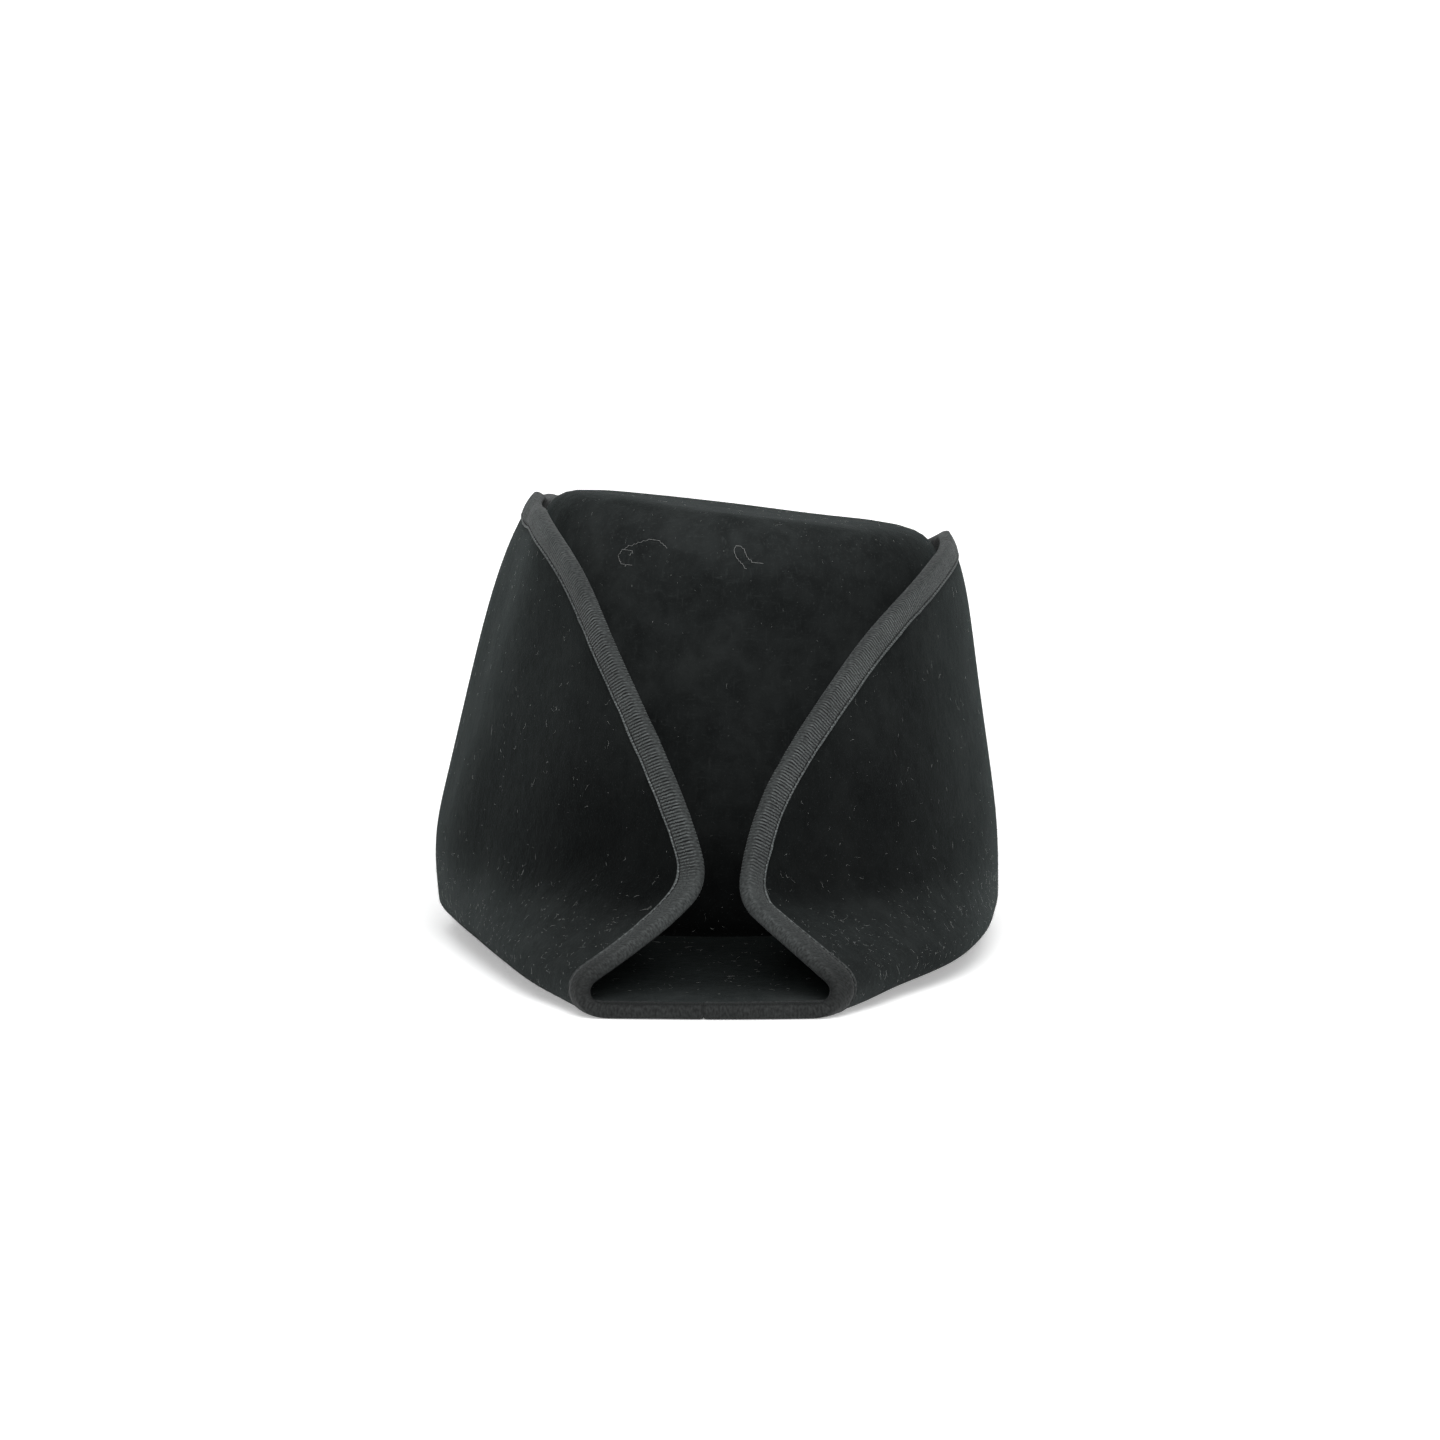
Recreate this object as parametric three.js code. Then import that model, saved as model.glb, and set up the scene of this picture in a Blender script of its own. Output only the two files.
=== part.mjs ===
// A bicorne hat of black wool felt with a ribbon bound round its edge.
// Millimetres, +Z up. Y runs from tip to tip, -X is the tall rear flap and +X the lower front flap.
// The hat rests on its two tips, on the plane z = 0.
//
// The brim is worked out from its flat pattern: an oval hole for the head inside a longer oval edge.
// A "place" is a point of that flat pattern, in X and Y, before the felt is folded.

import * as THREE from "three";

// Driving sizes
const tipToTip = 420; // the flat brim from one tip to the other
const headLength = 193; // head oval from back to front, at the middle of the felt
const headBreadth = 163; // the same oval from side to side
const crownHeight = 152; // from the brim to the middle of the top
const topFall = 22.3; // how much lower the top is at the front of the head than at its back
const rearRise = 17.6; // how much deeper the felt of the rear flap is than the crown is high
const frontRise = -2.5; // the same for the front flap
const feltThickness = 3;
const arch = 7.4; // how far the middle of the base stands above the tips
const restLength = 14; // flat stretch at each tip
const footRadius = 3.5; // where the crown turns out into the brim
const ribbonLeg = 6.5; // breadth of the ribbon on each face of the felt
const ribbonThickness = 0.9;
const ribbonGap = 0.3; // between the ribbon and the felt

// Shape of the crown: the share of its breadth left at the top, how far the top leans to the front as a
// share of half the head length, and how square the shoulder is
const crownTopShare = 0.775;
const crownLean = 0.087;
const shoulderPower = 16;

// Sections across each flap, at shares of the way from the middle of the hat to a tip. "flat" is the
// share of half the head length that lies flat. "fold", "facet" and "valley" are the lengths above it,
// as shares of the flap's depth: the fold itself, the facet that leans in over the brim, and the valley
// where the upright panel starts. "foldTo", "valleyTo" and "edgeTo" are the angles that the fold, the
// valley and the panel's edge turn to, in degrees from flat.
const rearSections = [
  { at: 0, flat: 1.05, fold: 0.05, facet: 0.006, valley: 0.236, foldTo: 84, valleyTo: 104, edgeTo: 124 },
  { at: 0.2, flat: 0.965, fold: 0.064, facet: 0.024, valley: 0.236, foldTo: 87, valleyTo: 103, edgeTo: 118 },
  { at: 0.4, flat: 0.846, fold: 0.09, facet: 0.053, valley: 0.177, foldTo: 104, valleyTo: 99, edgeTo: 102 },
  { at: 0.6, flat: 0.719, fold: 0.11, facet: 0.091, valley: 0.142, foldTo: 123, valleyTo: 98, edgeTo: 96 },
  { at: 0.8, flat: 0.568, fold: 0.133, facet: 0.2, valley: 0.118, foldTo: 142, valleyTo: 96, edgeTo: 91 },
  { at: 0.92, flat: 0.448, fold: 0.131, facet: 0.24, valley: 0.118, foldTo: 150, valleyTo: 98, edgeTo: 91 },
  { at: 1, flat: 0.366, fold: 0.119, facet: 0.239, valley: 0.118, foldTo: 150, valleyTo: 94, edgeTo: 90 },
];
const frontSections = [
  { at: 0, flat: 1.012, fold: 0.082, facet: 0.007, valley: 0.268, foldTo: 90, valleyTo: 97, edgeTo: 120 },
  { at: 0.2, flat: 0.975, fold: 0.082, facet: 0.024, valley: 0.268, foldTo: 93, valleyTo: 97, edgeTo: 114 },
  { at: 0.4, flat: 0.911, fold: 0.094, facet: 0.051, valley: 0.201, foldTo: 112, valleyTo: 99, edgeTo: 97 },
  { at: 0.6, flat: 0.784, fold: 0.111, facet: 0.085, valley: 0.161, foldTo: 134, valleyTo: 102, edgeTo: 96 },
  { at: 0.8, flat: 0.548, fold: 0.142, facet: 0.173, valley: 0.134, foldTo: 151, valleyTo: 101, edgeTo: 88 },
  { at: 0.92, flat: 0.406, fold: 0.154, facet: 0.215, valley: 0.134, foldTo: 151, valleyTo: 105, edgeTo: 86 },
  { at: 1, flat: 0.29, fold: 0.125, facet: 0.218, valley: 0.134, foldTo: 145, valleyTo: 99, edgeTo: 85 },
];

// How far the edge of each flap stands past the oval of the flat pattern, as a share of the flap's depth:
// each flap comes to a soft point at its middle
const rearEdge = [
  { at: 0, past: 0.013 },
  { at: 0.2, past: -0.024 },
  { at: 0.4, past: -0.005 },
  { at: 0.6, past: 0 },
  { at: 1, past: 0 },
];
const frontEdge = [
  { at: 0, past: 0.004 },
  { at: 0.2, past: -0.012 },
  { at: 0.4, past: -0.006 },
  { at: 0.6, past: 0 },
  { at: 1, past: 0 },
];
const edgeCurl = 0.24; // least share of the depth over which a panel turns to its edge angle
const curlPower = 5; // how closely that turn is gathered at the edge

// How finely the surfaces are faceted
const quarterStations = 27; // stations round each quarter of the edge
const brimRows = 13;
const crownRows = 7;
const bendReach = 45; // a radian of bend gets as many facets as this length of flat felt
const bendSteps = 140; // steps in which the bends of a section are summed up
const pathSamples = 240; // samples of a path that is split into even steps
const capSteps = 4; // facets round the folded edge of the ribbon
const probe = 0.05; // distance between the places that a direction is worked out from

// Sizes that follow
const halfSpan = tipToTip / 2;
const headX = headLength / 2;
const headY = headBreadth / 2;
const halfFelt = feltThickness / 2;
const rearDepth = crownHeight + rearRise; // flat felt from the head oval to the middle of the rear edge
const frontDepth = crownHeight + frontRise;
const ribbonInner = halfFelt + ribbonGap;
const ribbonOuter = ribbonInner + ribbonThickness;
const ribbonReach = ribbonGap + ribbonThickness; // how far the ribbon stands past the edge of the felt
const restHeight = ribbonOuter; // middle of the felt at the tips, with the ribbon under it
const rearFlap = { sections: rearSections, edge: rearEdge, depth: rearDepth, half: headX + rearDepth };
const frontFlap = {
  sections: frontSections,
  edge: frontEdge,
  depth: frontDepth,
  half: headX + frontDepth,
};

const { clamp, degToRad, smoothstep } = THREE.MathUtils;

// Value of one column of a section table, on a smooth curve that is level at the middle of the hat
function columnAt(rows, column, at) {
  const last = rows.length - 1;
  const gap = (i) => rows[i + 1].at - rows[i].at;
  const rise = (i) => (rows[i + 1][column] - rows[i][column]) / gap(i);
  const slope = (i) => {
    if (i === 0) return 0;
    if (i === last) return rise(last - 1);
    return (rise(i - 1) * gap(i) + rise(i) * gap(i - 1)) / (gap(i) + gap(i - 1));
  };
  let k = 0;
  while (k < last - 1 && at > rows[k + 1].at) k += 1;
  const u = (at - rows[k].at) / gap(k);
  const ease = u * u * (3 - 2 * u);
  const bow = u * (1 - u) * gap(k) * (slope(k) * (1 - u) - slope(k + 1) * u);
  return rows[k][column] * (1 - ease) + rows[k + 1][column] * ease + bow;
}

// Height of the flat part of the brim
function baseHeight(along) {
  const share = Math.min(1, Math.abs(along) / (halfSpan - restLength));
  return restHeight + arch * (1 - share * share);
}

// Where a place on the flat pattern comes to lie once the brim is folded
function brimPoint(place) {
  const { sections, depth, half } = place.x < 0 ? rearFlap : frontFlap;
  const at = Math.min(1, Math.abs(place.y) / halfSpan);
  const value = (column) => columnAt(sections, column, at);
  const foldStart = value("flat") * headX;
  const foldEnd = foldStart + value("fold") * depth;
  const valleyStart = foldEnd + value("facet") * depth;
  const panelStart = valleyStart + value("valley") * depth;
  const panelLength = Math.max(half * Math.sqrt(1 - at * at) - panelStart, edgeCurl * depth);
  const facetAngle = degToRad(value("foldTo"));
  const panelAngle = degToRad(value("valleyTo"));
  const edgeAngle = degToRad(value("edgeTo"));
  const step = Math.abs(place.x) / bendSteps;
  let out = 0;
  let up = baseHeight(place.y);
  for (let i = 0; i < bendSteps; i += 1) {
    const reach = (i + 0.5) * step;
    const angle =
      facetAngle * smoothstep(reach, foldStart, foldEnd) +
      (panelAngle - facetAngle) * smoothstep(reach, valleyStart, panelStart) +
      (edgeAngle - panelAngle) * clamp((reach - panelStart) / panelLength, 0, 1) ** curlPower;
    out += Math.cos(angle) * step;
    up += Math.sin(angle) * step;
  }
  return new THREE.Vector3(Math.sign(place.x) * out, place.y, up);
}

// A place on the crown: turn is the angle round the head, and share goes from 0 at the middle of the top
// to 1 at the brim
function crownPoint(turn, share) {
  const angle = ((1 - share) * Math.PI) / 2;
  const shoulder = Math.cos(angle) ** shoulderPower + Math.sin(angle) ** shoulderPower;
  const height = Math.sin(angle) / shoulder ** (1 / shoulderPower);
  const inward = share > 0 ? Math.cos(angle) / shoulder ** (1 / shoulderPower) : 0;
  const breadth = inward * (1 - (1 - crownTopShare) * height);
  const foot = footRadius * Math.max(0, 1 - (height * crownHeight) / (2 * footRadius)) ** 2;
  const x = crownLean * headX * height + (headX * breadth + foot) * Math.cos(turn);
  const y = (headY * breadth + foot) * Math.sin(turn);
  const top = restHeight + arch + crownHeight - (topFall * x) / headLength;
  return new THREE.Vector3(x, y, baseHeight(y) * (1 - height) + top * height);
}

// Place on the edge of the flat pattern, moved in by a breadth at right angles to the edge
function edgePlace(turn, inset) {
  const { edge, depth, half } = Math.cos(turn) < 0 ? rearFlap : frontFlap;
  const past = columnAt(edge, "past", Math.abs(Math.sin(turn))) * depth;
  const normal = new THREE.Vector2(Math.cos(turn) / half, Math.sin(turn) / halfSpan).normalize();
  const place = new THREE.Vector2(half * Math.cos(turn), halfSpan * Math.sin(turn));
  place.x += Math.sign(place.x) * past;
  return place.addScaledVector(normal, -inset);
}

// Place on the flat pattern at a share of the way from the crown to the ribbon
function brimPlace(turn, share) {
  const foot = new THREE.Vector2(headX + footRadius, headY + footRadius);
  foot.multiply(new THREE.Vector2(Math.cos(turn), Math.sin(turn)));
  return foot.lerp(edgePlace(turn, ribbonLeg), share);
}

// Shares of a path, from 0 to 1, that split it into steps of even length and bend
function evenShares(count, pointAt) {
  const points = Array.from({ length: pathSamples + 1 }, (_, k) => pointAt(k / pathSamples));
  const travelled = [0];
  let last = null;
  for (let k = 1; k <= pathSamples; k += 1) {
    const step = points[k].clone().sub(points[k - 1]);
    const bend = last ? last.angleTo(step) : 0;
    travelled.push(travelled[k - 1] + step.length() + bend * bendReach);
    last = step;
  }
  return Array.from({ length: count + 1 }, (_, i) => {
    const goal = (travelled[pathSamples] * i) / count;
    const k = clamp(travelled.findLastIndex((length) => length < goal) + 1, 1, pathSamples);
    return (k - 1 + (goal - travelled[k - 1]) / (travelled[k] - travelled[k - 1])) / pathSamples;
  });
}

// Angles of the stations round the hat, closest together where the edge bends
function stationTurns() {
  const quarter = (from, to) => {
    const turnAt = (share) => from + (to - from) * share;
    const shares = evenShares(quarterStations, (share) => brimPoint(edgePlace(turnAt(share), 0)));
    return shares.slice(0, -1).map(turnAt);
  };
  const mirrored = (turns) => turns.map((turn) => -turn);
  const front = quarter(0, Math.PI / 2);
  const rear = quarter(Math.PI, Math.PI / 2);
  const tip = Math.PI / 2;
  return [
    ...front,
    tip,
    ...rear.slice(1).reverse(),
    Math.PI,
    ...mirrored(rear.slice(1)),
    -tip,
    ...mirrored(front.slice(1)).reverse(),
  ];
}

// Outward direction of the folded brim, from the surface just beside a place
function brimNormal(place) {
  const beside = (x, y) => brimPoint(new THREE.Vector2(place.x + x, place.y + y));
  const across = beside(probe, 0).sub(beside(-probe, 0));
  const along = beside(0, probe).sub(beside(0, -probe));
  return across.cross(along).normalize();
}

// Outward direction of the crown
function crownNormal(turn, share) {
  if (share === 0) return new THREE.Vector3(topFall / headLength, 0, 1).normalize();
  const step = probe / headX;
  const down = crownPoint(turn, share + step).sub(crownPoint(turn, share - step));
  const round = crownPoint(turn + step, share).sub(crownPoint(turn - step, share));
  return down.cross(round).normalize();
}

// For each station, points at the middle of the felt from the middle of the top to the edge of the brim,
// each with the outward direction of the felt
const stations = stationTurns().map((turn) => {
  const overCrown = (share) => crownPoint(turn, share);
  const overBrim = (share) => brimPoint(brimPlace(turn, share));
  const crownShares = evenShares(crownRows, overCrown);
  const places = evenShares(brimRows, overBrim).map((share) => brimPlace(turn, share));
  places.push(edgePlace(turn, 0));
  const foot = places.shift();
  const points = [...crownShares.map(overCrown), ...places.map(brimPoint)];
  const normals = [...crownShares.map((share) => crownNormal(turn, share)), ...places.map(brimNormal)];
  normals[crownRows].add(brimNormal(foot)).normalize();
  return points.map((point, row) => ({ point, outward: normals[row] }));
});
const edgeRow = crownRows + brimRows + 1;
const ribbonRow = edgeRow - 1; // where the ribbon's legs end

// One row round the hat, at a distance outside (or, below zero, inside) the middle of the felt
function offsetRow(row, distance) {
  return stations.map((rows) => rows[row].point.clone().addScaledVector(rows[row].outward, distance));
}

// One row round the edge, past it by one distance and outside it by another
function edgeLoop(past, distance) {
  return offsetRow(edgeRow, distance).map((point, station) => {
    const away = stations[station][edgeRow].point.clone().sub(stations[station][ribbonRow].point);
    return point.addScaledVector(away.normalize(), past);
  });
}

// A closed skin through rows of points. A ring joins its last row to its first, and any other skin starts
// and ends with a row whose points all lie at one place. Each facet is split along its shorter diagonal,
// so that the ribbon's legs stay even with the felt that they face.
function skin(name, rows, ring, material) {
  const count = rows[0].length;
  const steps = ring ? rows.length : rows.length - 1;
  const index = (row, station) => (row % rows.length) * count + (station % count);
  const points = rows.flat();
  const length = (from, to) => points[from].distanceTo(points[to]);
  const faces = [];
  for (let row = 0; row < steps; row += 1) {
    for (let i = 0; i < count; i += 1) {
      const [a, b, c, d] = [index(row, i), index(row + 1, i), index(row + 1, i + 1), index(row, i + 1)];
      if (!ring && row === 0) faces.push(a, b, c);
      else if (!ring && row === steps - 1) faces.push(a, c, d);
      else if (length(a, c) < length(b, d)) faces.push(a, b, c, a, c, d);
      else faces.push(a, b, d, b, c, d);
    }
  }
  const geometry = new THREE.BufferGeometry().setFromPoints(points);
  geometry.setIndex(faces);
  geometry.computeVertexNormals();
  const mesh = new THREE.Mesh(geometry, material);
  mesh.name = name;
  return mesh;
}

// Crown and brim: one piece of felt, with its outer face, its cut edge and its inner face
function feltBody() {
  const rows = Array.from({ length: edgeRow + 1 }, (_, row) => row);
  const outer = rows.map((row) => offsetRow(row, halfFelt));
  const inner = rows.map((row) => offsetRow(row, -halfFelt)).reverse();
  const material = new THREE.MeshStandardMaterial({ color: 0x1c2121, roughness: 0.95, metalness: 0 });
  return skin("felt_body", [...outer, ...inner], false, material);
}

// Ribbon folded over the edge of the brim, with a leg on each face of the felt
function edgeBinding() {
  const cap = Array.from({ length: capSteps + 1 }, (_, k) => {
    const angle = Math.PI * (0.5 - k / capSteps);
    return edgeLoop(ribbonReach * Math.cos(angle), ribbonOuter * Math.sin(angle));
  });
  const rows = [
    offsetRow(ribbonRow, ribbonOuter),
    ...cap,
    offsetRow(ribbonRow, -ribbonOuter),
    offsetRow(ribbonRow, -ribbonInner),
    edgeLoop(ribbonGap, -ribbonInner),
    edgeLoop(ribbonGap, ribbonInner),
    offsetRow(ribbonRow, ribbonInner),
  ];
  const material = new THREE.MeshStandardMaterial({ color: 0x33373a, roughness: 0.85, metalness: 0 });
  return skin("edge_binding", rows, true, material);
}

const hat = new THREE.Group();
hat.name = "bicorne_hat";
hat.add(feltBody(), edgeBinding());

// The origin lies under the middle of the hat
const middleOfHat = new THREE.Box3().setFromObject(hat).getCenter(new THREE.Vector3());
hat.position.x = -middleOfHat.x;

export default hat;
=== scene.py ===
"""A bicorne hat of black wool felt, its edge bound with a petersham ribbon.

Lengths are worked out in millimetres and turned into metres where a mesh is made. Y runs from tip to
tip, -X is the tall rear flap and +X the lower front flap. The felt and the ribbon follow the same folded
surface as the frame's solids: the brim is worked out from its flat pattern, and a "place" is a point of
that pattern before the felt is folded.
"""

import math

import bpy
import numpy as np
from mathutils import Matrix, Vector


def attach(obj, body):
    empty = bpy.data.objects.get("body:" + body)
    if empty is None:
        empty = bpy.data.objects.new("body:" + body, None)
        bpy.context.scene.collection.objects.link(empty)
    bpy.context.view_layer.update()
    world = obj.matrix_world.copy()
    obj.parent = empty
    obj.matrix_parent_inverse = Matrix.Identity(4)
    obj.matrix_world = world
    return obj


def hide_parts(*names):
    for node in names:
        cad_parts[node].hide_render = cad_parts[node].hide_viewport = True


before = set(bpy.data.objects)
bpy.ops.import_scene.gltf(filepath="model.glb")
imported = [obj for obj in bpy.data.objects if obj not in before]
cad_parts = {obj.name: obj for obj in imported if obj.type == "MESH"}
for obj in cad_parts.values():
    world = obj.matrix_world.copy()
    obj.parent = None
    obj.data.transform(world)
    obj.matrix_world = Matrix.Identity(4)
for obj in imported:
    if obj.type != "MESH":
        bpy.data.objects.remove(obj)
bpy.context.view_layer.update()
rng = np.random.default_rng(7)

# Sizes of the hat, as in the frame
TIP_TO_TIP = 420.0
HEAD_LENGTH = 193.0
HEAD_BREADTH = 163.0
CROWN_HEIGHT = 152.0
TOP_FALL = 22.3
REAR_DEPTH = 169.6
FRONT_DEPTH = 149.5
FELT = 3.0
ARCH = 7.4
REST_LENGTH = 14.0
FOOT_RADIUS = 3.5
REST_HEIGHT = 2.7
CROWN_TOP_SHARE = 0.775
CROWN_LEAN = 0.087
SHOULDER_POWER = 16
EDGE_CURL = 0.24
CURL_POWER = 5
BEND_STEPS = 140
BATCH = 20000  # places folded at a time
TOP_MIDDLE = 0.02  # inside this share of the way down, the top counts as flat

HALF_SPAN = TIP_TO_TIP / 2
HEAD_X = HEAD_LENGTH / 2
HEAD_Y = HEAD_BREADTH / 2
HALF_FELT = FELT / 2

# Sections across each flap, the same as the solid's. Each row holds the share of the way from the middle of
# the hat to a tip, the flat stretch as a share of half the head length, the lengths of fold, facet and valley
# as shares of the flap's depth, and the angles in degrees that fold, valley and edge turn to. Apart from the
# first share and the valley, most values are rounded from a fit to points of the photograph.
REAR = np.array(
    [
        [0, 1.05, 0.05, 0.006, 0.236, 84, 104, 124],
        [0.2, 0.965, 0.064, 0.024, 0.236, 87, 103, 118],
        [0.4, 0.846, 0.09, 0.053, 0.177, 104, 99, 102],
        [0.6, 0.719, 0.11, 0.091, 0.142, 123, 98, 96],
        [0.8, 0.568, 0.133, 0.2, 0.118, 142, 96, 91],
        [0.92, 0.448, 0.131, 0.24, 0.118, 150, 98, 91],
        [1, 0.366, 0.119, 0.239, 0.118, 150, 94, 90],
    ]
)
FRONT = np.array(
    [
        [0, 1.012, 0.082, 0.007, 0.268, 90, 97, 120],
        [0.2, 0.975, 0.082, 0.024, 0.268, 93, 97, 114],
        [0.4, 0.911, 0.094, 0.051, 0.201, 112, 99, 97],
        [0.6, 0.784, 0.111, 0.085, 0.161, 134, 102, 96],
        [0.8, 0.548, 0.142, 0.173, 0.134, 151, 101, 88],
        [0.92, 0.406, 0.154, 0.215, 0.134, 151, 105, 86],
        [1, 0.29, 0.125, 0.218, 0.134, 145, 99, 85],
    ]
)
# Each row: the same first share, and how far the edge stands past the oval as a share of the depth
REAR_EDGE = np.array([[0, 0.013], [0.2, -0.024], [0.4, -0.005], [0.6, 0], [1, 0]])
FRONT_EDGE = np.array([[0, 0.004], [0.2, -0.012], [0.4, -0.006], [0.6, 0], [1, 0]])


def smoothstep(x, low, high):
    share = np.clip((x - low) / (high - low), 0, 1)
    return share * share * (3 - 2 * share)


def columns(table, at):
    """The columns of a section table at some shares of the way from the middle of the hat to a tip."""
    knots, rows = table[:, 0], table[:, 1:]
    gap = np.diff(knots)[:, None]
    rise = np.diff(rows, axis=0) / gap
    slope = np.zeros_like(rows)
    slope[1:-1] = (rise[:-1] * gap[1:] + rise[1:] * gap[:-1]) / (gap[1:] + gap[:-1])
    slope[-1] = rise[-1]
    k = np.searchsorted(knots[1:-1], at)
    u = ((at - knots[k]) / gap[k, 0])[:, None]
    ease = u * u * (3 - 2 * u)
    bow = u * (1 - u) * gap[k] * (slope[k] * (1 - u) - slope[k + 1] * u)
    return rows[k] * (1 - ease) + rows[k + 1] * ease + bow


def base_height(along):
    share = np.minimum(1, abs(along) / (HALF_SPAN - REST_LENGTH))
    return REST_HEIGHT + ARCH * (1 - share * share)


def fold_places(x, y):
    """The flap's depth and bend angles, and where its fold and valley start and end, at some places."""
    at = np.minimum(1, abs(y) / HALF_SPAN)
    rear = x < 0
    row = np.where(rear[:, None], columns(REAR, at), columns(FRONT, at))
    depth = np.where(rear, REAR_DEPTH, FRONT_DEPTH)
    fold_start = row[:, 0] * HEAD_X
    fold_end = fold_start + row[:, 1] * depth
    valley_start = fold_end + row[:, 2] * depth
    panel_start = valley_start + row[:, 3] * depth
    return depth, np.radians(row[:, 4:]), fold_start, fold_end, valley_start, panel_start


def brim_plain(px, py):
    """Middle of the folded felt over places of the flat pattern, without its waves."""
    shape = np.shape(px)
    px, py = np.ravel(px), np.ravel(py)
    out = np.empty((px.size, 3))
    for start in range(0, px.size, BATCH):
        part = slice(start, start + BATCH)
        x, y = px[part], py[part]
        depth, bends, fold_start, fold_end, valley_start, panel_start = fold_places(x, y)
        at = np.minimum(1, abs(y) / HALF_SPAN)
        panel = np.maximum((HEAD_X + depth) * np.sqrt(1 - at * at) - panel_start, EDGE_CURL * depth)
        facet, upright, edge = (bends[:, i, None] for i in range(3))
        reach = abs(x)[:, None] * (np.arange(BEND_STEPS) + 0.5) / BEND_STEPS
        angle = facet * smoothstep(reach, fold_start[:, None], fold_end[:, None])
        angle += (upright - facet) * smoothstep(reach, valley_start[:, None], panel_start[:, None])
        curl = np.clip((reach - panel_start[:, None]) / panel[:, None], 0, 1) ** CURL_POWER
        angle += (edge - upright) * curl
        out[part, 0] = x * np.cos(angle).mean(1)
        out[part, 1] = y
        out[part, 2] = base_height(y) + abs(x) * np.sin(angle).mean(1)
    return out.reshape(*shape, 3)


def brim_normal(px, py, probe=0.05):
    across = brim_plain(px + probe, py) - brim_plain(px - probe, py)
    along = brim_plain(px, py + probe) - brim_plain(px, py - probe)
    normal = np.cross(across, along)
    return normal / np.linalg.norm(normal, axis=-1, keepdims=True)


# Heading, phase, length and height of each soft wave of the brim
WAVES = [
    (rng.uniform(0, 2 * math.pi), rng.uniform(0, 2 * math.pi), rng.uniform(70, 170), rng.uniform(0.15, 0.4))
    for _ in range(7)
]
WAVES_START = (85, 150)  # across the hat
WAVES_END = (120, 195)  # along the hat


def waves(px, py):
    """How far the felt of the brim stands off its plain shape, in soft waves that die out at the tips."""
    total = np.zeros(np.shape(px))
    for heading, phase, length, height in WAVES:
        travelled = px * math.cos(heading) + py * math.sin(heading)
        total += height * np.sin(2 * math.pi * travelled / length + phase)
    reach = smoothstep(abs(px), *WAVES_START) * (1 - smoothstep(abs(py), *WAVES_END))
    return total * reach


def brim(px, py):
    """Middle of the folded felt and its outward direction."""
    normal = brim_normal(px, py)
    return brim_plain(px, py) + normal * waves(px, py)[..., None], normal


# Painted light and shade scale the felt's colour: painted light on the facets, at the tips and up the crown,
# painted shade in the valley, inside the brim and at the crown's foot. Each pair holds the heights between
# which one region passes into the next
FLAP_TONE = 0.88
FACET_PAINTED_LIGHT = 0.8
FACET_TOP = (21, 36)
VALLEY_SHADE = {"rear": 0.52, "front": 0.28}
VALLEY_START = (26, 40)
VALLEY_END = (55, 100)
BASE_SHADE = 0.95
TIP_PAINTED_LIGHT = 2.6
TIP_REACH = (150, 205)  # along the hat
# Painted shade at the crown's foot, where the crown is darkest
CROWN_BASE_TONE = 0.55
# How much painted light the crown gains, and between which heights
CROWN_PAINTED_LIGHT = [(0.7, 25, 80), (0.35, 90, 130), (0.8, 130, 158)]


def brim_painted_shading(px, py, height):
    """Painted light and shade on the brim: painted light low on the facets and at the tips, painted shade in
    the valley and inside.
    """
    _, _, fold_start, fold_end, _, _ = fold_places(np.ravel(px), np.ravel(py))
    base = (1 - smoothstep(abs(np.ravel(px)), fold_start, fold_end)).reshape(np.shape(px))
    facet = 1 - smoothstep(height, *FACET_TOP)
    valley = smoothstep(height, *VALLEY_START) * (1 - smoothstep(height, *VALLEY_END))
    shade = np.where(px < 0, VALLEY_SHADE["rear"], VALLEY_SHADE["front"])
    flap = FLAP_TONE + FACET_PAINTED_LIGHT * facet - shade * valley
    toward_tip = smoothstep(abs(py), *TIP_REACH)
    inside = 1 - BASE_SHADE * (1 - toward_tip) + TIP_PAINTED_LIGHT * toward_tip**3
    return flap * (1 - base) + inside * base


def crown_painted_shading(height):
    """Painted light on the crown: it is painted lighter the higher it is, and darkest at its foot, as painted
    shade.
    """
    painted_shading = CROWN_BASE_TONE
    for more, low, high in CROWN_PAINTED_LIGHT:
        painted_shading = painted_shading + more * smoothstep(height, low, high)
    return painted_shading


def crown(turn, share):
    angle = (1 - share) * math.pi / 2
    shoulder = abs(np.cos(angle)) ** SHOULDER_POWER + abs(np.sin(angle)) ** SHOULDER_POWER
    height = np.sin(angle) / shoulder ** (1 / SHOULDER_POWER)
    inward = np.where(share > 0, np.cos(angle) / shoulder ** (1 / SHOULDER_POWER), 0)
    breadth = inward * (1 - (1 - CROWN_TOP_SHARE) * height)
    foot = FOOT_RADIUS * np.maximum(0, 1 - height * CROWN_HEIGHT / (2 * FOOT_RADIUS)) ** 2
    x = CROWN_LEAN * HEAD_X * height + (HEAD_X * breadth + foot) * np.cos(turn)
    y = (HEAD_Y * breadth + foot) * np.sin(turn)
    top = REST_HEIGHT + ARCH + CROWN_HEIGHT - TOP_FALL * x / HEAD_LENGTH
    return np.stack([x, y, base_height(y) * (1 - height) + top * height], -1)


def crown_normal(turn, share):
    step = 0.0008
    down = crown(turn, share + step) - crown(turn, share - step)
    around = crown(turn + step, share) - crown(turn - step, share)
    normal = np.cross(down, around)
    size = np.linalg.norm(normal, axis=-1, keepdims=True)
    flat = np.array([TOP_FALL / HEAD_LENGTH, 0, 1]) / math.hypot(TOP_FALL / HEAD_LENGTH, 1)
    return np.where(share[..., None] < TOP_MIDDLE, flat, normal / np.maximum(size, 1e-12))


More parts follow.
